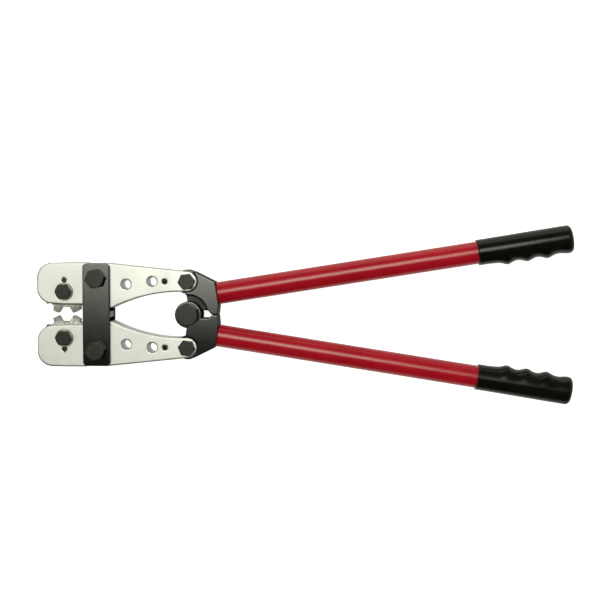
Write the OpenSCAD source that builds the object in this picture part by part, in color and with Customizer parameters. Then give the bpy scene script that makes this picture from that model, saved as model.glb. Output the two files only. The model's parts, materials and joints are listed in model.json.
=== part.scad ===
// Long-handled hexagonal crimping tool with turning die wheels.
// Frame: origin at the centre of the closed crimp nest, +X towards the handles,
// +Y across the jaws, +Z along the bolts, away from the rear strap.
// The tool is drawn closed. The lower half is the mirror image of the upper half,
// except at the handle pivot, where the lower arm is a fork and the upper arm its tongue.

/* [Die wheels] */
// Distance from the parting line to each die wheel's axis
die_axis_y = 28; // [27:0.5:29]
// Gap between the two closed die wheels
die_gap = 0.2; // [0.1:0.1:0.6]
// Thickness of a die wheel
die_t = 13; // [11:0.5:13]
// Across flats of the working nest, the largest of the eight
nest_af_max = 17.3; // [15.4:0.1:17.3]
// Distance from a die wheel's axis to its detent ball
detent_r = 13.7; // [13.7:0.1:14.1]

/* [Jaws] */
// Thickness of one jaw plate
plate_t = 7; // [6:0.5:8]
// Gap between the two plates of a jaw
plate_gap = 13.6; // [13.4:0.1:14]
// Length of the jaws from the die axis to the arm bolt
jaw_pin_x = 149; // [147.5:0.5:150.5]
// Distance from the centre line to the arm bolt
jaw_pin_y = 40; // [39.5:0.5:40.5]
// Radius of the jaw's rear end
jaw_end_r = 12.2; // [11.5:0.1:12.4]

/* [Straps] */
// Distance from the die axis to the strap bolts
strap_x = 39.8; // [39:0.1:40.5]
// Distance from the centre line to a strap bolt
strap_bolt_y = 43.4; // [43:0.1:44]
// Width of a strap
strap_w = 32; // [30:1:33]
// Length of a strap
strap_l = 123.4; // [120:0.2:125]
// Thickness of a strap
strap_t = 6; // [5:0.5:8]

/* [Arms] */
// Distance from the die axis to the handle pivot
pivot_x = 150.5; // [150:0.5:151.5]
// Thickness of an arm
arm_t = 31; // [30:0.5:34]
// Thickness of an arm's tongue
tongue_t = 13; // [12:0.5:13]
// Radius of the tongue round the arm bolt
tongue_r = 14.5; // [14:0.1:15]
// Radius of the fork ears and of the tongue eye at the handle pivot
ear_r = 16; // [15.5:0.1:16]
// Angle between a closed handle and the centre line
handle_angle = 8.93; // [8.5:0.01:9.5]
// Where the arm's end face crosses the handle axis, along X
face_x = 185; // [183.5:0.5:186.5]
// Where the arm's end face crosses the handle axis, along Y
face_y = 25.6; // [25:0.1:26.5]
// Where the arms end on the centre line, along X
arm_end_x = 186; // [184.5:0.5:187.5]

/* [Handles] */
// Outside diameter of a handle tube
tube_od = 27; // [26:0.5:28]
// Wall thickness of a handle tube
tube_wall = 2; // [1.5:0.1:3]
// Visible length of a tube, from the arm to the grip
tube_visible = 317; // [250:1:340]
// Length of a grip
grip_l = 114; // [112:1:130]
// Radius of a grip at its mouth
grip_front_r = 15.5; // [14.6:0.1:16]
// Radius of a grip at its closed end
grip_end_r = 16.4; // [16:0.1:18]

/* [Fasteners] */
// Radius of the die bolts and the arm bolts
bolt_r = 6; // [5.5:0.1:6]
// Radius of the strap bolts
strap_bolt_r = 7; // [6.5:0.1:7]
// Radius of the handle pivot bolt
pivot_r = 7; // [6.5:0.1:7]
// Across flats of the die bolts
die_bolt_af = 17; // [17:0.5:19]
// Across flats of the arm bolts
arm_bolt_af = 18; // [17:0.5:19]
// Across flats of the strap bolts
strap_bolt_af = 21; // [20:0.5:22]
// Across flats of the handle pivot bolt
pivot_af = 24; // [22:0.5:25]

/* [Hidden] */
// Radial clearance of a turning fit, and of a seated fit
run = 0.05;
seat = 0.02;
eps = 0.01;
// How far a cutter reaches past the face it cuts
over = 1;
round_fn = 96;
hull_fn = 32;

// Across-flats sizes of the nests round a wheel, the working one first
nest_af = [nest_af_max, 5.4, 13.2, 6.8, 15.3, 8.2, 11.2, 9.6];

die_r = die_axis_y - die_gap / 2;
// Faces, measured from the middle plane
gap_z = plate_gap / 2;
plate_z = gap_z + plate_t;
strap_gap = 0.3;
strap_z0 = plate_z + strap_gap;
strap_z1 = strap_z0 + strap_t;
arm_z = arm_t / 2;

// Fastener heights
bolt_head_h = 8;
bolt_nut_h = 10;
strap_head_h = 9;
strap_nut_h = 11;
pivot_head_h = 10;
pivot_nut_h = 13;
thread_end = 1.5;
washer_r = 10.9;
washer_t = 2;
// Turn of each kind of hexagon about its bolt
die_bolt_turn = 3;
arm_bolt_turn = 8;
strap_bolt_turn = 10;
pivot_bolt_turn = 30;
// Circle that turns a hexagon's corners down, as a share of its across flats
chamfer_share = 0.48;

// Jaw outline
nose_r = 18.3;
nose_x = -14.7;
nose_y = [31.6, 44.3];
jaw_top_y = 63;
jaw_throat_y = 12.3;
jaw_waist_y = 8;
jaw_curve_r = 190;
jaw_curve_x = 142.5;
// Where the nose block ends and the beam begins, and where the beam's straight top and foot end
nose_end_x = 26.5;
beam_x = 24.5;
beam_top_x = 52.5;
beam_foot_x = 56.5;
beam_foot_y = 28;
beam_drop = 0.6;
nose_start_x = 1.5;
throat_end_x = 32.5;
spacer_die_gap = 1.5;
spacer_tongue_gap = 1;
// Lightening holes and assembly screw: [x, y, radius]
hole_a = [75.2, 36.4, 5.8];
hole_b = [106.7, 39.9, 5.8];
jaw_screw_x = 122.1;
jaw_screw_y = 39.9;
jaw_screw_r = 3;
jaw_screw_proud = 0.3;
jaw_screw_socket_r = 1.7;
jaw_screw_socket_depth = 2.5;

// Detent
detent_bore_r = 2.45;
detent_ball_r = 2.2;
detent_cup_r = 1.7;
detent_plug_l = 2.5;
detent_head_r = 2.7;
detent_head_h = 2;
detent_tip = 4.2;
dimple_depth = 0.6;
dimple_r = [1.2, 1.8];
spring_r = 1.05;
spring_wire_r = 0.28;
spring_h = 3.2;
spring_turns = 4;

// Centring block and its blind pin
centring_x0 = 47;
centring_x1 = 55.3;
centring_half_y = 4;
centring_corner_r = 1.2;
centring_play = 0.1;
centring_pin_x = (centring_x0 + strap_x + strap_w / 2) / 2;
centring_pin_r = 2.5;
centring_depth = 3.5;
centring_pin_gap = 0.3;
strap_corner_r = 5;

// Arms: room for the jaw's end, and for the fork beside the tongue
jaw_room_r = jaw_end_r + 0.7;
// The fork ears drift up to 6.3 in the tongue's frame as the handles open
pivot_drift = [1.4, 2.9];
eye_hole_r = pivot_r + 3.4;
ear_room_r = ear_r + 7.4;
fork_room_r = 24;
open_angle = 55.57;
jaw_taper = 6.3;
shoulder_angle = 180 - open_angle - jaw_taper - 90;
jaw_room_reach = 40;
stop_y = 0.4;
// Eye-shaped opening between the arms, behind the pivot: its depth in each arm and its length
tongue_eye_y = 5;
fork_eye_y = 4.4;
eye_x0 = 8;
eye_x1 = 24.5;
eye_tip_x = 28.5;
// Front edge of the web, from the eye up to the arm bolt, and where the web leaves the tongue's round
web_foot = [-1.2, 13];
web_knee = [-3.4, 25.6];
web_tangent = 63.4;
web_margin = 0.4;
spigot_l = 45;
spigot_root = 2;
tube_gap = 0.05;
grip_overlap = 108;
grip_bottom_gap = 0.1;
grip_lip = 1;
grip_end_round = 5;
// Where a grip starts and stops growing, along its length
grip_taper = [30, 92];

function along(d) = [face_x + d * cos(handle_angle), face_y + d * sin(handle_angle)];
function face_at(d) = [face_x - d * sin(handle_angle), face_y + d * cos(handle_angle)];

// ---- colours ----

module steel() color([0.85, 0.86, 0.83]) children();
module black() color([0.14, 0.14, 0.13]) children();
module red() color([0.70, 0.06, 0.09]) children();
module rubber() color([0.07, 0.07, 0.06]) children();

// ---- general shapes ----

module lower() mirror([0, 1, 0]) children();

// A layer from z0 to z1
module layer(z0, z1) translate([0, 0, z0]) linear_extrude(z1 - z0) children();

// A layer of thickness t round the middle plane
module mid_layer(t) layer(-t / 2, t / 2) children();

module rod(r, z0, z1) translate([0, 0, z0]) cylinder(h = z1 - z0, r = r, $fn = round_fn);

// A rectangle between two opposite corners
module rect(from, to) translate(from) square(to - from);

// A hexagon prism with its upper corners turned down to a 30 degree chamfer
module hexagon(af, h, turn = 0) {
    rise = 1 / tan(30);
    top_r = af * chamfer_share;
    intersection() {
        rotate(turn) cylinder(h = h, r = af / sqrt(3), $fn = 6);
        cylinder(h = h, r1 = top_r + h * rise, r2 = top_r, $fn = round_fn);
    }
}

// A hex bolt through z_top (under its head) down to z_end
module hex_bolt(r, af, head_h, z_top, z_end, turn = 0) {
    translate([0, 0, z_top]) hexagon(af, head_h, turn);
    rod(r, z_end, z_top + head_h / 2);
}

// A hex nut whose bearing face is at z_top, with its chamfer facing down
module hex_nut(r, af, h, z_top, turn = 0) {
    difference() {
        translate([0, 0, z_top]) mirror([0, 0, 1]) hexagon(af, h, turn);
        rod(r + seat, z_top - h - over, z_top + over);
    }
}

// A helical spring: rings of wire section swept along the coil
module coil(r, wire_r, h, turns) {
    sides = 6;
    steps = 14 * turns;
    rings = [for (i = [0:steps], k = [0:sides - 1])
        let (a = 360 * turns * i / steps, b = 360 * k / sides, reach = r + wire_r * cos(b))
        [reach * cos(a), reach * sin(a), h * i / steps + wire_r * sin(b)]];
    walls = [for (i = [0:steps - 1], k = [0:sides - 1])
        let (n = (k + 1) % sides, low = i * sides, high = low + sides)
        [low + k, low + n, high + n, high + k]];
    first = [for (k = [0:sides - 1]) sides - 1 - k];
    last = [for (k = [0:sides - 1]) steps * sides + k];
    polyhedron(points = rings, faces = concat([first], walls, [last]), convexity = turns + 1);
}

// ---- jaw outline ----

module jaw_nose() {
    hull() {
        for (y = nose_y) translate([nose_x, y]) circle(r = nose_r, $fn = 2 * hull_fn);
        rect([nose_start_x, jaw_throat_y], [nose_end_x, jaw_top_y]);
    }
}

module jaw_beam() {
    difference() {
        hull() {
            rect([beam_x, jaw_waist_y], [beam_top_x, jaw_top_y - beam_drop]);
            rect([beam_top_x, jaw_waist_y], [beam_foot_x, beam_foot_y]);
            translate([jaw_pin_x, jaw_pin_y]) circle(r = jaw_end_r, $fn = 3 * hull_fn);
        }
        translate([jaw_curve_x, jaw_pin_y - jaw_end_r - jaw_curve_r]) circle(r = jaw_curve_r, $fn = 360);
        rect([nose_start_x, 0], [throat_end_x, jaw_throat_y]);
    }
}

module jaw_outline() {
    jaw_nose();
    jaw_beam();
}

module at(p) translate([p[0], p[1], 0]) children();

// Bores shared by the plates and the spacer
module jaw_bores() {
    z = plate_z + over;
    at([strap_x, strap_bolt_y]) rod(strap_bolt_r + run, -z, z);
    for (hole = [hole_a, hole_b]) at(hole) rod(hole[2], -z, z);
    at([jaw_screw_x, jaw_screw_y]) rod(jaw_screw_r + seat, -z, z);
}

// ---- jaw parts, drawn for the upper half ----

module jaw_plate(z0, z1) {
    difference() {
        layer(z0, z1) jaw_outline();
        jaw_bores();
        for (p = [[0, die_axis_y], [jaw_pin_x, jaw_pin_y]])
            at(p) rod(bolt_r + seat, z0 - over, z1 + over);
    }
}

module front_plate() steel() difference() {
    jaw_plate(gap_z, plate_z);
    at([0, die_axis_y + detent_r]) rod(detent_bore_r + seat, gap_z - over, plate_z + over);
}

module rear_plate() steel() jaw_plate(-plate_z, -gap_z);

module jaw_spacer() steel() difference() {
    mid_layer(plate_gap) difference() {
        jaw_beam();
        translate([0, die_axis_y]) circle(r = die_r + spacer_die_gap, $fn = round_fn);
        translate([jaw_pin_x, jaw_pin_y]) circle(r = tongue_r + spacer_tongue_gap, $fn = round_fn);
    }
    jaw_bores();
}

module jaw_screw() black() at([jaw_screw_x, jaw_screw_y]) difference() {
    top = plate_z + jaw_screw_proud;
    rod(jaw_screw_r, -plate_z, top);
    translate([0, 0, top - jaw_screw_socket_depth])
        cylinder(h = jaw_screw_socket_depth + over, r = jaw_screw_socket_r, $fn = 6);
}

module die_bolt() black() at([0, die_axis_y])
    hex_bolt(bolt_r, die_bolt_af, bolt_head_h, plate_z + washer_t,
        -plate_z - bolt_nut_h - thread_end, die_bolt_turn);

module die_washer() steel() at([0, die_axis_y]) difference() {
    rod(washer_r, plate_z, plate_z + washer_t);
    rod(bolt_r + seat, plate_z - over, plate_z + washer_t + over);
}

module die_nut() black() at([0, die_axis_y])
    hex_nut(bolt_r, die_bolt_af, bolt_nut_h, -plate_z, die_bolt_turn);

// A round wheel with one half-hexagon nest at each eighth of a turn
module die_wheel() steel() at([0, die_axis_y]) {
    step = 360 / len(nest_af);
    difference() {
        rod(die_r, -die_t / 2, die_t / 2);
        rod(bolt_r + run, -die_t, die_t);
        for (i = [0:len(nest_af) - 1]) rotate(i * step - 90) {
            translate([die_axis_y, 0, -die_t])
                rotate(90) cylinder(h = 2 * die_t, r = nest_af[i] / sqrt(3), $fn = 6);
            translate([detent_r, 0, die_t / 2 - dimple_depth])
                cylinder(h = dimple_depth + eps, r1 = dimple_r[0], r2 = dimple_r[1], $fn = round_fn);
        }
    }
}

// The screwed cap over the detent spring, with a pointed head that marks the working nest
module detent_cap() black() at([0, die_axis_y + detent_r]) difference() {
    // The point's sides leave the round head along its tangents
    lean = asin(detent_head_r / detent_tip);
    side = [detent_head_r * cos(lean), detent_head_r * sin(lean)];
    union() {
        rod(detent_bore_r, plate_z - detent_plug_l, plate_z + eps);
        rod(detent_head_r, plate_z, plate_z + detent_head_h);
        layer(plate_z, plate_z + detent_head_h)
            polygon([[0, 0], side, [0, detent_tip], [-side[0], side[1]]]);
    }
    rod(detent_cup_r, plate_z - detent_plug_l - over, plate_z + detent_head_h / 2);
}

module detent_spring() steel() at([0, die_axis_y + detent_r])
    translate([0, 0, die_t / 2 + 2 * detent_ball_r + spring_wire_r + 0.2])
        coil(spring_r, spring_wire_r, spring_h, spring_turns);

module detent_ball() steel() at([0, die_axis_y + detent_r])
    translate([0, 0, die_t / 2 + detent_ball_r + run]) sphere(r = detent_ball_r, $fn = round_fn);

module arm_bolt() black() at([jaw_pin_x, jaw_pin_y])
    hex_bolt(bolt_r, arm_bolt_af, bolt_head_h, plate_z,
        -plate_z - bolt_nut_h - thread_end, arm_bolt_turn);

module arm_nut() black() at([jaw_pin_x, jaw_pin_y])
    hex_nut(bolt_r, arm_bolt_af, bolt_nut_h, -plate_z, arm_bolt_turn);

// ---- strap assembly ----

module strap(z0, z1, inner_z) {
    corner = [strap_w / 2 - strap_corner_r, strap_l / 2 - strap_corner_r];
    difference() {
        translate([strap_x, 0, 0]) layer(z0, z1) hull()
            for (sx = [-1, 1], sy = [-1, 1])
                translate([sx * corner[0], sy * corner[1]]) circle(r = strap_corner_r, $fn = 2 * hull_fn);
        for (s = [-1, 1]) at([strap_x, s * strap_bolt_y])
            rod(strap_bolt_r + seat, z0 - over, z1 + over);
        at([centring_pin_x, 0])
            rod(centring_pin_r + seat, inner_z - centring_depth, inner_z + centring_depth);
    }
}

module front_strap() black() strap(strap_z0, strap_z1, strap_z0);

module rear_strap() black() strap(-strap_z1, -strap_z0, -strap_z0);

module strap_bolts() black() for (s = [-1, 1]) at([strap_x, s * strap_bolt_y])
    hex_bolt(strap_bolt_r, strap_bolt_af, strap_head_h, strap_z1,
        -strap_z1 - strap_nut_h - thread_end, strap_bolt_turn);

module strap_nuts() black() for (s = [-1, 1]) at([strap_x, s * strap_bolt_y])
    hex_nut(strap_bolt_r, strap_bolt_af, strap_nut_h, -strap_z1, strap_bolt_turn);

// The block between the straps that keeps the two jaws centred
module centring_block() black() difference() {
    r = centring_corner_r;
    mid_layer(2 * strap_z0 - centring_play) hull()
        for (x = [centring_x0 + r, centring_x1 - r], s = [-1, 1])
            translate([x, s * (centring_half_y - r)]) circle(r = r, $fn = hull_fn);
    at([centring_pin_x, 0]) rod(centring_pin_r + seat, -strap_z1, strap_z1);
}

module centring_pin() steel() at([centring_pin_x, 0]) {
    z = strap_z0 + centring_depth - centring_pin_gap;
    rod(centring_pin_r, -z, z);
}

// ---- arms, drawn for the upper half ----

// The arm's side outline, with the eye's half cut eye_y deep into its foot
module arm_web(eye_y) {
    half_face = tube_od / 2 + web_margin;
    translate([jaw_pin_x, jaw_pin_y]) circle(r = tongue_r, $fn = round_fn);
    polygon([
        [jaw_pin_x, jaw_pin_y],
        [jaw_pin_x + tongue_r * cos(web_tangent), jaw_pin_y + tongue_r * sin(web_tangent)],
        face_at(half_face),
        face_at(-half_face),
        [arm_end_x, stop_y],
        [pivot_x + eye_tip_x, stop_y],
        [pivot_x + eye_x1, eye_y],
        [pivot_x + eye_x0, eye_y],
        [pivot_x + web_foot[0], web_foot[1]],
        [pivot_x + web_knee[0], web_knee[1]]
    ]);
}

// Where the jaw's plates turn against the arm
module jaw_room() {
    reach = jaw_room_reach;
    translate([jaw_pin_x, jaw_pin_y]) {
        circle(r = jaw_room_r, $fn = round_fn);
        rotate(shoulder_angle) translate([jaw_room_r - reach, 0]) square(reach);
        translate([-reach, -jaw_room_r]) square([reach, 2 * reach]);
    }
}

module arm_spigot() {
    on_handle(-spigot_root)
        cylinder(h = spigot_l + spigot_root, r = tube_od / 2 - tube_wall - seat, $fn = round_fn);
}

// The arm with a tongue at the handle pivot
module tongue_arm() black() difference() {
    union() {
        mid_layer(arm_t) difference() {
            arm_web(tongue_eye_y);
            jaw_room();
            translate([pivot_x, 0]) circle(r = fork_room_r, $fn = round_fn);
        }
        mid_layer(tongue_t) {
            arm_web(tongue_eye_y);
            translate([pivot_x, 0]) circle(r = ear_r, $fn = round_fn);
        }
        arm_spigot();
    }
    at([jaw_pin_x, jaw_pin_y]) rod(bolt_r + run, -arm_t, arm_t);
    at([pivot_x + pivot_drift[0], pivot_drift[1]]) rod(eye_hole_r, -arm_t, arm_t);
}

// The arm with a fork at the handle pivot
module fork_arm() black() difference() {
    union() {
        mid_layer(arm_t) difference() {
            union() {
                arm_web(fork_eye_y);
                translate([pivot_x, 0]) circle(r = ear_r, $fn = round_fn);
            }
            jaw_room();
        }
        mid_layer(tongue_t) difference() {
            arm_web(fork_eye_y);
            translate([pivot_x, 0]) circle(r = ear_room_r, $fn = round_fn);
        }
        arm_spigot();
    }
    at([pivot_x, 0]) rod(ear_room_r, -gap_z, gap_z);
    at([jaw_pin_x, jaw_pin_y]) rod(bolt_r + run, -arm_t, arm_t);
    at([pivot_x, 0]) rod(pivot_r + seat, -arm_t, arm_t);
}

// ---- handles, drawn for the upper half ----

// Places children with +Z along the handle, at distance d from the arm's end face
module on_handle(d) {
    p = along(d);
    translate([p[0], p[1], 0]) rotate(handle_angle) rotate([0, 90, 0]) children();
}

module tube() red() on_handle(tube_gap) difference() {
    length = tube_visible + grip_overlap;
    rod(tube_od / 2, 0, length);
    rod(tube_od / 2 - tube_wall, -over, length + over);
}

module grip() rubber() on_handle(tube_visible) {
    bore_r = tube_od / 2 + seat;
    bore_l = grip_overlap + grip_bottom_gap;
    corner = grip_end_round * (1 - cos(45));
    rotate_extrude($fn = round_fn) polygon([
        [bore_r, 0],
        [grip_front_r - grip_lip, 0],
        [grip_front_r, grip_lip],
        [grip_front_r, grip_taper[0]],
        [grip_end_r, grip_taper[1]],
        [grip_end_r, grip_l - grip_end_round],
        [grip_end_r - corner, grip_l - corner],
        [grip_end_r - grip_end_round, grip_l],
        [0, grip_l],
        [0, bore_l],
        [bore_r, bore_l]
    ]);
}

// ---- handle pivot ----

module pivot_bolt() black() at([pivot_x, 0])
    hex_bolt(pivot_r, pivot_af, pivot_head_h, arm_z, -arm_z - pivot_nut_h - thread_end, pivot_bolt_turn);

module pivot_nut() black() at([pivot_x, 0]) hex_nut(pivot_r, pivot_af, pivot_nut_h, -arm_z, pivot_bolt_turn);

front_strap();
rear_strap();
strap_bolts();
strap_nuts();
centring_block();
centring_pin();
front_plate();  // upper_front_plate
rear_plate();  // upper_rear_plate
jaw_spacer();  // upper_jaw_spacer
jaw_screw();  // upper_jaw_screw
die_bolt();  // upper_die_bolt
die_washer();  // upper_die_washer
die_nut();  // upper_die_nut
die_wheel();  // upper_die_wheel
detent_cap();  // upper_detent_cap
detent_spring();  // upper_detent_spring
detent_ball();  // upper_detent_ball
arm_bolt();  // upper_arm_bolt
arm_nut();  // upper_arm_nut
tongue_arm();  // upper_arm
tube();  // upper_tube
grip();  // upper_grip
lower() front_plate();  // lower_front_plate
lower() rear_plate();  // lower_rear_plate
lower() jaw_spacer();  // lower_jaw_spacer
lower() jaw_screw();  // lower_jaw_screw
lower() die_bolt();  // lower_die_bolt
lower() die_washer();  // lower_die_washer
lower() die_nut();  // lower_die_nut
lower() die_wheel();  // lower_die_wheel
lower() detent_cap();  // lower_detent_cap
lower() detent_spring();  // lower_detent_spring
lower() detent_ball();  // lower_detent_ball
lower() arm_bolt();  // lower_arm_bolt
lower() arm_nut();  // lower_arm_nut
lower() fork_arm();  // lower_arm
lower() tube();  // lower_tube
lower() grip();  // lower_grip
pivot_bolt();
pivot_nut();
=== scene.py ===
"""Looks, light and camera for a long-handled hexagonal crimping tool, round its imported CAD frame.

The frame has +X towards the handles, +Y across the jaws and +Z along the bolts, all in metres.
"""
import json
import math

import bpy
import numpy as np
from mathutils import Matrix, Vector


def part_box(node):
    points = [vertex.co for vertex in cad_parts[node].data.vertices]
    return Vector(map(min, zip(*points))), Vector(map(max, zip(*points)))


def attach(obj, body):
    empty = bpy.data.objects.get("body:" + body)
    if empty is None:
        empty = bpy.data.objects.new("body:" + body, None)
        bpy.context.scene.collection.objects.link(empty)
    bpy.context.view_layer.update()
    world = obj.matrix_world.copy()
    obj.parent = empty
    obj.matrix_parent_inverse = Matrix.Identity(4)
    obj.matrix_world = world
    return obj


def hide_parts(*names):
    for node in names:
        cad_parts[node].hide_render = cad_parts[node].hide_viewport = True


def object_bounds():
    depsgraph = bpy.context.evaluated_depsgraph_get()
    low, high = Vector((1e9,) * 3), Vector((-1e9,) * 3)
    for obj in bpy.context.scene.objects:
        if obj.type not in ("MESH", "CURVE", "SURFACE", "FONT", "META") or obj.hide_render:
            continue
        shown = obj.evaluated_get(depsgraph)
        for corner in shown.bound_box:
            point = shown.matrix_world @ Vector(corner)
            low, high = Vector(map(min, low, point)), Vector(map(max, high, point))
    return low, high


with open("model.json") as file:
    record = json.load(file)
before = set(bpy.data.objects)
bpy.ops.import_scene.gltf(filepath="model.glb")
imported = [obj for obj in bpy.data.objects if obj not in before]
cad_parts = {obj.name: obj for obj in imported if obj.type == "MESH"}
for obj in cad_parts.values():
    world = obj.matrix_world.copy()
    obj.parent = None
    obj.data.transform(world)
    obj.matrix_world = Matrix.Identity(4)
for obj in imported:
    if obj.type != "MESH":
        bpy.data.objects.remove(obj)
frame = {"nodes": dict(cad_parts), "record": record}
cad_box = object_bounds()
nodes = frame["nodes"]

MM = 0.001
# The two halves of the tool, and on which side of Y each lies
HALVES = {"upper": 1, "lower": -1}

# Camera: how far from the tool, how far swung towards +X and +Y, where it aims from the middle of the
# CAD box, and its lens and sensor in mm
CAMERA_DISTANCE = 1.454
CAMERA_SWING_X = math.radians(2.3)
CAMERA_SWING_Y = math.radians(2.5)
CAMERA_AIM = Vector((-5, 17.5, 0)) * MM
CAMERA_LENS = 72.06
CAMERA_SENSOR = 36

# Light: the overhead window, the pale backdrop beyond +Y, the fill from both ends, the dim studio
# round them all, and the floor as the camera and as glossy faces see it
WINDOW_LIGHT = 5.2
BACKDROP_LIGHT = 1.0
SIDE_LIGHT = 0.45
DOME_LIGHT = 0.025
DOME_GAIN = 5
FLOOR_GLOW = 0.92
FLOOR_MIRRORED = 0.4
LIGHT_TINT = (1.0, 1.02, 0.88)

# Soft edges of the window, as slopes from straight above: near and far along Y, left and right along X
WINDOW_NEAR = (-0.091, 0.024)
WINDOW_FAR = (0.28, 0.66)
WINDOW_LEFT = (-0.47, -0.02)
WINDOW_RIGHT = (0.06, 0.15)
WINDOW_LOW = (0.0, 0.1)
# Where along Y the window grows brighter, and by how much
WINDOW_BRIGHTER = (0.02, 0.2)
WINDOW_GAIN = 1.55
# Where the other lights rise, as parts of the unit direction
DOME_RISE = (-0.2, 0.7)
BACKDROP_RISE = (0.88, 1.0)
SIDE_RISE = (0.4, 0.75)
# Keeps the slopes finite near the horizon
LOWEST_HEIGHT = 0.05

# The floor in metres: half its side, how far below the tool it lies, and where along Y it starts to glow
# for glossy faces
FLOOR_HALF = 4.0
FLOOR_DROP = 0.5 * MM
MIRRORED_RISE = (-0.3, -0.1)

# Modifiers of the CAD nodes: vertices closer than this are one, faces flatter than this are one,
# and edges sharper than this are rounded
WELD_REACH = 1e-6
FLAT_ANGLE = math.radians(0.5)
SHARP_ANGLE = math.radians(34)
BEVEL_SEGMENTS = 2
NORMAL_WEIGHT = 80

# Edge rounding of the CAD nodes in mm, by material slot and by node
SLOT_BEVEL = {
    "jaw_steel": 0.5,
    "die_steel": 0.25,
    "washer_steel": 0.3,
    "black_paint": 1.3,
    "black_fasteners": 0.35,
    "red_paint": 0.4,
    "black_rubber": 0.5,
}
NODE_BEVEL = {
    "front_strap": 2.0,
    "rear_strap": 2.0,
    "centring_block": 0.6,
    "upper_front_plate": 1.7,
    "upper_rear_plate": 1.7,
    "lower_front_plate": 1.7,
    "lower_rear_plate": 1.7,
}
# Nodes that look like another slot than their own
NODE_LOOK = {"centring_block": "black_fasteners"}

# Samples of the shader nodes that look round a point
AO_SAMPLES = 8
CORNER_SAMPLES = 8
EDGE_SAMPLES = 6
# How far a rounded normal leans away before a face counts as an edge
EDGE_LEAN = (0.02, 0.2)
# Parts of a noise's range that a tone or a roughness runs over
TONE_SPAN = (0.3, 0.7)
ROUGH_SPAN = (0.25, 0.75)
# How much blue a steel's painted edge tone keeps; that tone is a painted highlight where lighter and painted
# shade where darker
PAINTED_EDGE_BLUE = 0.97


# ---- small helpers ----

def smoothstep(low, high, value):
    """0 below low, 1 above high, and a smooth rise between."""
    t = np.clip((value - low) / (high - low), 0.0, 1.0)
    return t * t * (3 - 2 * t)


class Graph:
    """Short calls for building one node tree."""

    def __init__(self, tree):
        self.tree = tree
        tree.nodes.clear()

    def node(self, kind, inputs=None, **settings):
        made = self.tree.nodes.new(kind)
        for key, value in settings.items():
            setattr(made, key, value)
        for key, value in (inputs or {}).items():
            self.feed(made.inputs[key], value)
        return made

    def feed(self, socket, value):
        if isinstance(value, bpy.types.NodeSocket):
            self.tree.links.new(value, socket)
        else:
            socket.default_value = value

    def math(self, operation, a, b=0.0):
        return self.node("ShaderNodeMath", {0: a, 1: b}, operation=operation).outputs[0]

    def plus(self, *values):
        total = values[0]
        for value in values[1:]:
            total = self.math("ADD", total, value)
        return total

    def times(self, *values):
        product = values[0]
        for value in values[1:]:
            product = self.math("MULTIPLY", product, value)
        return product

    def ramp(self, value, low, high, to_low=0.0, to_high=1.0):
        """Maps value smoothly from low..high to to_low..to_high."""
        made = self.node(
            "ShaderNodeMapRange",
            {"Value": value, "From Min": low, "From Max": high, "To Min": to_low, "To Max": to_high},
            interpolation_type="SMOOTHSTEP",
        )
        return made.outputs["Result"]

    def mix(self, factor, a, b):
        """The colour a where factor is 0, and b where it is 1.

        The node's sockets 6 and 7 take the colours, and 2 gives the mixed one.
        """
        made = self.node("ShaderNodeMix", {"Factor": factor}, data_type="RGBA")
        self.feed(made.inputs[6], a)
        self.feed(made.inputs[7], b)
        return made.outputs[2]

    def cover(self, base, mask, share, over):
        """Covers base with the colour over, by share where mask is 1."""
        return self.mix(self.times(mask, share), base, over)

    def noise(self, point, scale, detail=2.0, roughness=0.5, distortion=0.0):
        inputs = {"Vector": point, "Scale": scale, "Detail": detail}
        inputs.update({"Roughness": roughness, "Distortion": distortion})
        return self.node("ShaderNodeTexNoise", inputs).outputs["Fac"]

    def scaled(self, vector, factors):
        """The vector with each of its three parts multiplied by its own factor."""
        made = self.node("ShaderNodeVectorMath", {0: vector, 1: factors}, operation="MULTIPLY")
        return made.outputs["Vector"]

    def streaks(self, point, stretch, detail, roughness=0.5, distortion=0.0):
        """Noise with its own scale along each axis."""
        return self.noise(self.scaled(point, stretch), 1.0, detail, roughness, distortion)

    def split(self, vector):
        """The x, y and z parts of a vector."""
        return self.node("ShaderNodeSeparateXYZ", {0: vector}).outputs[:]

    def bump(self, height, distance, normal=None, strength=1.0):
        inputs = {"Height": height, "Distance": distance, "Strength": strength}
        if normal is not None:
            inputs["Normal"] = normal
        return self.node("ShaderNodeBump", inputs).outputs["Normal"]

    def open_air(self, reach, low, high):
        """0 deep in recesses and against neighbours, 1 on faces with nothing within reach."""
        seen = self.node("ShaderNodeAmbientOcclusion", {"Distance": reach}, samples=AO_SAMPLES).outputs["AO"]
        return self.ramp(seen, low, high)

    def rounded(self, radius, samples=CORNER_SAMPLES):
        """The normal as if every edge within radius were round."""
        return self.node("ShaderNodeBevel", {"Radius": radius}, samples=samples).outputs["Normal"]

    def edge_mask(self, radius):
        """1 on the convex and concave edges, 0 on flat and gently curved faces."""
        normal = self.node("ShaderNodeNewGeometry").outputs["Normal"]
        ends = {0: self.rounded(radius, EDGE_SAMPLES), 1: normal}
        turn = self.node("ShaderNodeVectorMath", ends, operation="DOT_PRODUCT").outputs["Value"]
        return self.ramp(self.math("SUBTRACT", 1.0, turn), *EDGE_LEAN)


def colour(red, green, blue):
    return (red, green, blue, 1.0)


def new_surface(name):
    """A named material, its graph, its Principled shader and the point on the object in metres."""
    material = bpy.data.materials.new(name)
    material.use_nodes = True
    graph = Graph(material.node_tree)
    shader = graph.node("ShaderNodeBsdfPrincipled")
    output = graph.node("ShaderNodeOutputMaterial")
    graph.tree.links.new(shader.outputs["BSDF"], output.inputs["Surface"])
    point = graph.node("ShaderNodeTexCoord").outputs["Object"]
    return material, graph, shader, point


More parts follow.
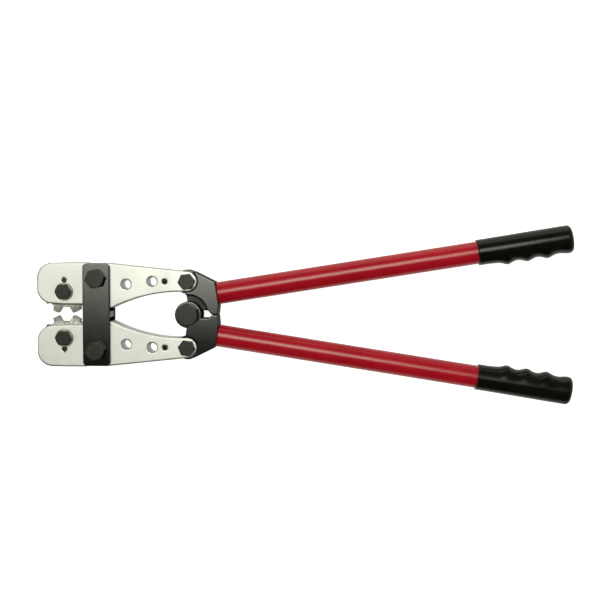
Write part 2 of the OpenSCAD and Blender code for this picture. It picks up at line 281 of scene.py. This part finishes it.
def finish_surface(graph, shader, base, roughness, normal, **values):
    graph.feed(shader.inputs["Base Color"], base)
    graph.feed(shader.inputs["Roughness"], roughness)
    graph.feed(shader.inputs["Normal"], normal)
    for key, value in values.items():
        graph.feed(shader.inputs[key.replace("_", " ")], value)


# ---- materials ----

def satin_steel(name, light, dark, roughness, grain, corner, stain_scale=110, painted_edge_tone=0.93, painted_edge_share=0.15):
    """Plated or ground steel: faint grain along X, stained tone, fine scratches, edges broken by corner, and
    a painted edge tone: a painted highlight where lighter, painted shade where darker.
    """
    material, graph, shader, point = new_surface(name)
    clouds = graph.noise(point, scale=28, detail=4, roughness=0.6)
    stains = graph.noise(point, stain_scale, detail=5, roughness=0.65)
    along = graph.streaks(point, stretch=(60, 1800, 1800), detail=3)
    pits = graph.noise(point, scale=2600, detail=2)
    lines = graph.streaks(point, stretch=(160, 3200, 700), detail=1, distortion=0.6)
    scratches = graph.ramp(lines, low=0.66, high=0.74)
    tone = graph.times(graph.ramp(clouds, *TONE_SPAN), graph.ramp(stains, *ROUGH_SPAN))
    base = graph.mix(tone, dark, light)
    # Painted edges: a lighter tone is a painted highlight (jaw and washer steel), a near-black one is
    # painted shade (dies).
    painted_edge_colour = colour(painted_edge_tone, painted_edge_tone, PAINTED_EDGE_BLUE * painted_edge_tone)
    base = graph.cover(base, graph.edge_mask(radius=1.0 * MM), painted_edge_share, over=painted_edge_colour)
    cloud_rough = graph.ramp(clouds, *ROUGH_SPAN, to_low=-0.04, to_high=0.05)
    grain_rough = graph.times(along, 0.05)
    scratch_rough = graph.times(scratches, 0.08)
    rough = graph.plus(roughness, cloud_rough, grain_rough, scratch_rough)
    fine = graph.bump(pits, distance=0.012 * MM, normal=graph.rounded(corner), strength=grain)
    brushed = graph.bump(along, distance=0.01 * MM, normal=fine, strength=grain)
    normal = graph.bump(scratches, distance=-0.006 * MM, normal=brushed, strength=0.5)
    finish_surface(graph, shader, base, rough, normal, Metallic=1.0)
    return material


def black_enamel(name):
    """Stoved black enamel on the straps and arms: fine orange peel, dust, worn edges, and painted shade in
    recesses, where it reflects less.

    Side faces are rougher and, as painted shade, reflect less than the faces across Z.
    """
    material, graph, shader, point = new_surface(name)
    clouds = graph.noise(point, scale=35, detail=4, roughness=0.6)
    peel = graph.noise(point, scale=900, detail=2)
    dust = graph.ramp(graph.noise(point, scale=2400, detail=1), low=0.68, high=0.8)
    chips = graph.ramp(graph.noise(point, scale=420, detail=5, roughness=0.7), low=0.56, high=0.66)
    wear_share = 0.4
    worn = graph.times(graph.edge_mask(radius=0.7 * MM), chips, wear_share)
    deep, pale = colour(0.003, 0.003, 0.003), colour(0.006, 0.006, 0.005)
    bare = colour(0.12, 0.115, 0.1)
    base = graph.mix(graph.ramp(clouds, *TONE_SPAN), deep, pale)
    base = graph.cover(base, dust, share=0.2, over=colour(0.04, 0.04, 0.035))
    base = graph.mix(worn, base, bare)
    true_normal = graph.node("ShaderNodeNewGeometry").outputs["True Normal"]
    facing = graph.math("ABSOLUTE", graph.split(true_normal)[2])
    side_rough = graph.ramp(facing, low=0.1, high=0.6, to_low=0.6, to_high=0.0)
    side_shade = graph.ramp(facing, low=0.1, high=0.6, to_low=0.3, to_high=1.0)
    cloud_rough = graph.ramp(clouds, *ROUGH_SPAN, to_low=0.05, to_high=0.09)
    worn_rough = graph.times(worn, 0.2)
    rough = graph.plus(cloud_rough, worn_rough, side_rough)
    normal = graph.bump(peel, distance=0.012 * MM, normal=graph.rounded(2.0 * MM), strength=0.3)
    finish_surface(graph, shader, base, rough, normal, Metallic=graph.times(worn, 0.6))
    # Painted shade: reflection is lowered in recesses, next to neighbouring parts and on side faces.
    shaded_gloss = graph.times(graph.open_air(reach=14 * MM, low=0.3, high=0.68), side_shade)
    graph.feed(shader.inputs["Specular IOR Level"], shaded_gloss)
    return material


def black_oxide(name):
    """Blackened fasteners: matt, slightly mottled, rubbed bare along the corners, with painted shade where
    they meet other parts, where they reflect less.
    """
    material, graph, shader, point = new_surface(name)
    mottle = graph.noise(point, scale=240, detail=5, roughness=0.65)
    grain = graph.noise(point, scale=1700, detail=2)
    rubbed = graph.ramp(graph.noise(point, scale=700, detail=4, roughness=0.7), low=0.48, high=0.66)
    wear_share = 0.6
    worn = graph.times(graph.edge_mask(radius=0.45 * MM), rubbed, wear_share)
    deep, pale = colour(0.008, 0.008, 0.006), colour(0.024, 0.023, 0.018)
    bare = colour(0.3, 0.29, 0.26)
    base = graph.mix(graph.ramp(mottle, *TONE_SPAN), deep, pale)
    base = graph.mix(worn, base, bare)
    rough = graph.ramp(mottle, *ROUGH_SPAN, to_low=0.24, to_high=0.34)
    normal = graph.bump(grain, distance=0.02 * MM, strength=0.3)
    finish_surface(graph, shader, base, rough, normal, Metallic=graph.times(worn, 0.7))
    full_gloss = 0.34
    # Painted shade: reflection is lowered next to neighbouring parts and in recesses.
    shaded_gloss = graph.times(graph.open_air(reach=8 * MM, low=0.3, high=0.65), full_gloss)
    graph.feed(shader.inputs["Specular IOR Level"], shaded_gloss)
    return material


def red_enamel(name):
    """Glossy red enamel over the handle tubes, with orange peel, specks and a few rubbed places."""
    material, graph, shader, point = new_surface(name)
    clouds = graph.noise(point, scale=22, detail=4, roughness=0.55)
    peel = graph.noise(point, scale=650, detail=2)
    specks = graph.ramp(graph.noise(point, scale=1900, detail=1), low=0.7, high=0.82)
    rubs = graph.streaks(point, stretch=(30, 260, 260), detail=5, roughness=0.7)
    rubbed = graph.ramp(rubs, low=0.6, high=0.78)
    deep, pale = colour(0.58, 0.006, 0.022), colour(0.65, 0.009, 0.028)
    base = graph.mix(graph.ramp(clouds, *TONE_SPAN), deep, pale)
    base = graph.cover(base, specks, share=0.3, over=colour(0.2, 0.01, 0.012))
    edge = graph.edge_mask(radius=0.6 * MM)
    base = graph.cover(base, edge, share=0.4, over=colour(0.16, 0.03, 0.03))
    clean_rough = 0.24
    rubbed_rough = graph.times(rubbed, 0.1)
    normal = graph.bump(peel, distance=0.02 * MM, strength=0.3)
    finish_surface(graph, shader, base, graph.plus(clean_rough, rubbed_rough), normal)
    return material


def black_vinyl(name):
    """Dipped vinyl grips: smooth pebble, slight bloom and scuffs from the hand."""
    material, graph, shader, point = new_surface(name)
    clouds = graph.noise(point, scale=40, detail=4, roughness=0.6)
    pebble = graph.noise(point, scale=1300, detail=3)
    waves = graph.noise(point, scale=210, detail=2)
    rubs = graph.streaks(point, stretch=(120, 900, 900), detail=4, roughness=0.7)
    scuffs = graph.ramp(rubs, low=0.58, high=0.72)
    deep, pale = colour(0.004, 0.004, 0.003), colour(0.008, 0.008, 0.006)
    base = graph.mix(graph.ramp(clouds, *TONE_SPAN), deep, pale)
    base = graph.cover(base, scuffs, share=0.15, over=colour(0.03, 0.029, 0.025))
    cloud_rough = graph.ramp(clouds, *ROUGH_SPAN, to_low=0.13, to_high=0.19)
    scuff_rough = graph.times(scuffs, 0.1)
    rough = graph.plus(cloud_rough, scuff_rough)
    soft = graph.bump(waves, distance=0.06 * MM, strength=0.35)
    normal = graph.bump(pebble, distance=0.025 * MM, normal=soft, strength=0.45)
    finish_surface(graph, shader, base, rough, normal, Specular_IOR_Level=0.3)
    return material


def floor_white(name):
    """A matt white floor that glows for the camera, and beyond the tool for glossy faces too."""
    material, graph, shader, point = new_surface(name)
    tone = graph.noise(point, scale=3, detail=2)
    deep, pale = colour(0.86, 0.86, 0.86), colour(0.88, 0.88, 0.88)
    base = graph.mix(graph.ramp(tone, *TONE_SPAN), deep, pale)
    normal = graph.bump(graph.noise(point, scale=900), distance=0.02 * MM, strength=0.1)
    finish_surface(graph, shader, base, 0.9, normal, Specular_IOR_Level=0.1)
    ray = graph.node("ShaderNodeLightPath").outputs
    along_y = graph.split(point)[1]
    mirrored = graph.times(ray["Is Glossy Ray"], graph.ramp(along_y, *MIRRORED_RISE, to_high=FLOOR_MIRRORED))
    seen = graph.times(ray["Is Camera Ray"], FLOOR_GLOW)
    graph.feed(shader.inputs["Emission Color"], colour(1, 1, 1))
    graph.feed(shader.inputs["Emission Strength"], graph.math("MAXIMUM", seen, mirrored))
    return material


def make_materials():
    """One finished material for each material slot of the record."""
    return {
        "jaw_steel": satin_steel(
            "jaw_steel_satin",
            light=colour(0.69, 0.69, 0.69),
            dark=colour(0.62, 0.62, 0.615),
            roughness=0.36,
            grain=0.5,
            corner=3.0 * MM,
        ),
        "die_steel": satin_steel(
            "die_steel_ground",
            light=colour(0.8, 0.8, 0.78),
            dark=colour(0.13, 0.13, 0.12),
            roughness=0.32,
            grain=0.8,
            corner=0.3 * MM,
            stain_scale=420,
            # Near-black edges at a large share: painted shade along the dies' edges and notches.
            painted_edge_tone=0.05,
            painted_edge_share=0.75,
        ),
        "washer_steel": satin_steel(
            "washer_steel_zinc",
            light=colour(0.36, 0.36, 0.32),
            dark=colour(0.24, 0.24, 0.2),
            roughness=0.36,
            grain=0.7,
            corner=0.3 * MM,
        ),
        "black_paint": black_enamel("black_paint_enamel"),
        "black_fasteners": black_oxide("black_fasteners_oxide"),
        "red_paint": red_enamel("red_paint_enamel"),
        "black_rubber": black_vinyl("black_rubber_vinyl"),
    }


# ---- CAD nodes ----

def dress_node(obj, slot, materials):
    """Gives a CAD node its material and rounds its sharp edges without moving its faces."""
    obj.data.materials.clear()
    obj.data.materials.append(materials[NODE_LOOK.get(obj.name, slot)])
    obj.data.polygons.foreach_set("use_smooth", [True] * len(obj.data.polygons))
    weld = obj.modifiers.new("weld", "WELD")
    weld.merge_threshold = WELD_REACH
    flat = obj.modifiers.new("flat_faces", "DECIMATE")
    flat.decimate_type = "DISSOLVE"
    flat.angle_limit = FLAT_ANGLE
    bevel = obj.modifiers.new("rounded_edges", "BEVEL")
    bevel.width = NODE_BEVEL.get(obj.name, SLOT_BEVEL[slot]) * MM
    bevel.segments = BEVEL_SEGMENTS
    bevel.limit_method = "ANGLE"
    bevel.angle_limit = SHARP_ANGLE
    bevel.use_clamp_overlap = True
    normals = obj.modifiers.new("face_normals", "WEIGHTED_NORMAL")
    normals.weight = NORMAL_WEIGHT


def dress_nodes(materials):
    slots = {entry["node"]: entry["material_slot"] for entry in frame["record"]["subparts"]}
    for name, obj in nodes.items():
        dress_node(obj, slots[name], materials)


# ---- handle tubes and grips ----

# Grip shape in mm: distances run from the mouth, radii from the handle's axis.
# Radii at the mouth, in the finger grooves and at the heel
GRIP_FRONT_R = 15.5
GRIP_GROOVE_R = 16.0
GRIP_HEEL_R = 17.6
# Where the fingers' side grows to the groove radius, and, from the closed end, where it grows to the heel's
GRIP_SWELL = (8, 24)
GRIP_HEEL = (18, 7)
# The finger ridges: how many, their height, the first one's place, their spacing and their half width
GRIP_RIDGES = 3
GRIP_RIDGE = 3.5
GRIP_RIDGE_AT = 34.0
GRIP_RIDGE_STEP = 24.0
GRIP_RIDGE_WIDTH = 6.9
# How sharply the fingers' side gives way to the back, as a power of the cosine
GRIP_FINGER_POWER = 2.2
# The closed end: its rounding, how much thinner it is than the CAD grip, and the rings across its flat
GRIP_END_ROUND = 5.5
GRIP_END_PLAY = 0.2
GRIP_END_RINGS = (0.75, 0.5, 0.25)
# The mouth: the broken outer and inner edges, the ring behind the inner one, and the play round the tube
GRIP_LIP = 0.8
GRIP_BORE_EDGE = 0.15
GRIP_BORE_RING = 0.6
GRIP_PLAY = 0.02
# The tube in mm: its wall and its broken outer edges
TUBE_WALL = 2.0
TUBE_EDGE = 0.6
# Corners round each ring, and rings along each stretch
ROUND_STEPS = 128
TUBE_STEPS = 16
TUBE_EDGE_STEPS = 5
GRIP_STEPS = 150
GRIP_LIP_STEPS = 6
GRIP_END_STEPS = 10


def handle_line(name):
    """Start, unit direction and length of a straight handle piece, from its CAD mesh."""
    points = np.unique(np.round([v.co for v in nodes[name].data.vertices], 6), axis=0)
    middle = (points.min(0) + points.max(0)) / 2
    direction = np.linalg.svd(points - points.mean(0), full_matrices=False)[2][0]
    direction *= np.sign(direction[0])
    reach = (points - middle) @ direction
    return middle + direction * reach.min(), direction, reach.max() - reach.min()


def radius_across(name):
    """Radius in mm of a round handle piece, from its CAD box along Z."""
    low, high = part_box(name)
    return (high.z - low.z) / 2 / MM


def ring_angles():
    """The angles round a ring; 0 faces the other handle."""
    return np.arange(ROUND_STEPS) * 2 * math.pi / ROUND_STEPS


def quarter_turn(steps):
    return np.linspace(0, math.pi / 2, steps)


def turned_piece(half, name, material, start, direction, rings, loop):
    """A piece of rings round a handle's axis; each ring is (distance, radii) in mm.

    With loop, the last ring joins the first; otherwise a point closes each end.
    """
    sign = HALVES[half]
    inward = np.array([direction[1] * sign, -direction[0] * sign, 0.0])
    across = np.array([0.0, 0.0, 1.0])
    angles = ring_angles()[:, None]
    out = np.cos(angles) * inward + np.sin(angles) * across
    verts = []
    for distance, radii in rings:
        verts.extend(start + (direction * distance + out * np.reshape(radii, (-1, 1))) * MM)
    faces = []
    for i in range(len(rings) if loop else len(rings) - 1):
        a = i * ROUND_STEPS
        b = (i + 1) % len(rings) * ROUND_STEPS
        for k in range(ROUND_STEPS):
            n = (k + 1) % ROUND_STEPS
            faces.append((a + k, a + n, b + n, b + k))
    if not loop:
        for ring, turn in ((0, 1), (len(rings) - 1, -1)):
            tip = len(verts)
            verts.append(start + direction * rings[ring][0] * MM)
            for k in range(ROUND_STEPS):
                n = (k + 1) % ROUND_STEPS
                corners = (tip, ring * ROUND_STEPS + n, ring * ROUND_STEPS + k)
                faces.append(corners[::turn])
    mesh = bpy.data.meshes.new(name)
    mesh.from_pydata([tuple(v) for v in verts], [], faces)
    if sign < 0:
        mesh.flip_normals()
    mesh.polygons.foreach_set("use_smooth", [True] * len(mesh.polygons))
    mesh.materials.append(material)
    piece = bpy.data.objects.new(name, mesh)
    bpy.context.scene.collection.objects.link(piece)
    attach(piece, f"{half}_handle")
    return piece


def make_tube(half, materials):
    """The enamelled handle tube, hollow, with broken outer edges."""
    start, direction, length = handle_line(f"{half}_tube")
    length /= MM
    outer = radius_across(f"{half}_tube")
    inner = outer - TUBE_WALL
    edge = TUBE_EDGE
    rings = []
    for t in quarter_turn(TUBE_EDGE_STEPS):
        cut = edge * (1 - math.sin(t))
        rings.append((cut, outer - cut))
    along = np.linspace(0, length, TUBE_STEPS)[1:-1]
    for d in (2 * edge, 4 * edge, *along, length - 4 * edge, length - 2 * edge):
        rings.append((d, outer))
    for t in quarter_turn(TUBE_EDGE_STEPS)[::-1]:
        cut = edge * (1 - math.sin(t))
        rings.append((length - cut, outer - cut))
    for d in (length, length - edge, length - 4 * edge, length / 2, 4 * edge, edge, 0.0):
        rings.append((d, inner))
    name, slot = f"{half}_tube_enamelled", "red_paint"
    tube = turned_piece(half, name, materials[slot], start, direction, rings, loop=True)
    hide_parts(f"{half}_tube")


def grip_radii(d, length, end_r):
    """Outer radii round the grip at distance d from its mouth."""
    finger = GRIP_FRONT_R + (GRIP_GROOVE_R - GRIP_FRONT_R) * smoothstep(*GRIP_SWELL, d)
    for i in range(GRIP_RIDGES):
        centre = GRIP_RIDGE_AT + i * GRIP_RIDGE_STEP
        finger += GRIP_RIDGE * np.exp(-(((d - centre) / GRIP_RIDGE_WIDTH) ** 2))
    heel_start, heel_end = GRIP_HEEL
    finger += (GRIP_HEEL_R - GRIP_GROOVE_R) * smoothstep(length - heel_start, length - heel_end, d)
    back = GRIP_FRONT_R + (end_r - GRIP_END_PLAY - GRIP_FRONT_R) * smoothstep(0, length, d)
    share = np.clip(np.cos(ring_angles()), 0, 1) ** GRIP_FINGER_POWER
    return back + (finger - back) * share


def make_grip(half, materials):
    """A moulded grip with finger ridges, closed at its end and bored for the tube."""
    start, direction, tube_length = handle_line(f"{half}_tube")
    corners = np.array([v.co for v in nodes[f"{half}_grip"].data.vertices])
    reach = (corners - start) @ direction
    mouth = reach.min()
    length = (reach.max() - mouth) / MM
    end_r = radius_across(f"{half}_grip")
    bore_r = radius_across(f"{half}_tube") + GRIP_PLAY
    bore_depth = (tube_length - mouth) / MM + GRIP_PLAY
    rings = [(bore_depth, bore_r), (GRIP_BORE_RING, bore_r), (GRIP_BORE_EDGE, bore_r + GRIP_BORE_EDGE)]
    for t in quarter_turn(GRIP_LIP_STEPS):
        cut = GRIP_LIP * (1 - math.sin(t))
        rings.append((cut, grip_radii(0.0, length, end_r) - cut))
    for d in np.linspace(GRIP_LIP, length - GRIP_END_ROUND, GRIP_STEPS)[1:]:
        rings.append((d, grip_radii(d, length, end_r)))
    for t in quarter_turn(GRIP_END_STEPS)[1:]:
        d = length - GRIP_END_ROUND * (1 - math.sin(t))
        rings.append((d, grip_radii(d, length, end_r) - GRIP_END_ROUND * (1 - math.cos(t))))
    cap = rings[-1][1]
    for share in GRIP_END_RINGS:
        rings.append((length, cap * share))
    origin = start + direction * mouth
    name, slot = f"{half}_grip_moulded", "black_rubber"
    grip = turned_piece(half, name, materials[slot], origin, direction, rings, loop=False)
    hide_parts(f"{half}_grip")


# ---- floor, light and camera ----

def make_floor():
    far, z = FLOOR_HALF, cad_box[0][2] - FLOOR_DROP
    corners = [(-far, -far, z), (far, -far, z), (far, far, z), (-far, far, z)]
    mesh = bpy.data.meshes.new("floor")
    mesh.from_pydata(corners, [], [(0, 1, 2, 3)])
    floor = bpy.data.objects.new("floor", mesh)
    bpy.context.scene.collection.objects.link(floor)
    mesh.materials.append(floor_white("floor_white"))


def make_world():
    """A dim studio with a soft window overhead, a pale backdrop beyond +Y and a fill from both ends.

    The camera itself sees plain white.
    """
    world = bpy.data.worlds.new("studio")
    bpy.context.scene.world = world
    world.use_nodes = True
    graph = Graph(world.node_tree)
    x, y, z = graph.split(graph.node("ShaderNodeTexCoord").outputs["Generated"])
    height = graph.math("MAXIMUM", z, LOWEST_HEIGHT)
    slope_x = graph.math("DIVIDE", x, height)
    slope_y = graph.math("DIVIDE", y, height)
    window = graph.times(
        WINDOW_LIGHT,
        graph.ramp(slope_y, *WINDOW_NEAR),
        graph.ramp(slope_y, *WINDOW_BRIGHTER, to_low=1.0, to_high=WINDOW_GAIN),
        graph.ramp(slope_y, *WINDOW_FAR, to_low=1.0, to_high=0.0),
        graph.ramp(slope_x, *WINDOW_LEFT),
        graph.ramp(slope_x, *WINDOW_RIGHT, to_low=1.0, to_high=0.0),
        graph.ramp(z, *WINDOW_LOW),
    )
    dome = graph.ramp(y, *DOME_RISE, to_low=DOME_LIGHT, to_high=DOME_GAIN * DOME_LIGHT)
    backdrop = graph.ramp(y, *BACKDROP_RISE, to_high=BACKDROP_LIGHT)
    sides = graph.ramp(graph.math("ABSOLUTE", x), *SIDE_RISE, to_high=SIDE_LIGHT)
    light = graph.plus(window, dome, backdrop, sides)
    seen = graph.node("ShaderNodeLightPath").outputs["Is Camera Ray"]
    shown = graph.mix(seen, graph.scaled(light, LIGHT_TINT), colour(1.0, 1.0, 1.0))
    back = graph.node("ShaderNodeBackground", {"Color": shown})
    output = graph.node("ShaderNodeOutputWorld")
    graph.tree.links.new(back.outputs[0], output.inputs["Surface"])


def make_camera():
    centre = (Vector(cad_box[0]) + Vector(cad_box[1])) / 2
    aim = Vector((centre.x, centre.y, 0)) + CAMERA_AIM
    back = Vector((math.tan(CAMERA_SWING_X), math.tan(CAMERA_SWING_Y), 1)).normalized()
    right = Vector((0, 1, 0)).cross(back).normalized()
    up = back.cross(right)
    camera_data = bpy.data.cameras.new("camera")
    camera_data.sensor_width = CAMERA_SENSOR
    camera_data.lens = CAMERA_LENS
    camera = bpy.data.objects.new("camera", camera_data)
    bpy.context.scene.collection.objects.link(camera)
    turn = Matrix((right, up, back)).transposed().to_4x4()
    camera.matrix_world = Matrix.Translation(aim + back * CAMERA_DISTANCE) @ turn
    bpy.context.scene.camera = camera


def build():
    materials = make_materials()
    dress_nodes(materials)
    for half in HALVES:
        make_tube(half, materials)
        make_grip(half, materials)
    make_floor()
    make_world()
    make_camera()
    bpy.context.scene.view_settings.view_transform = "Standard"


build()
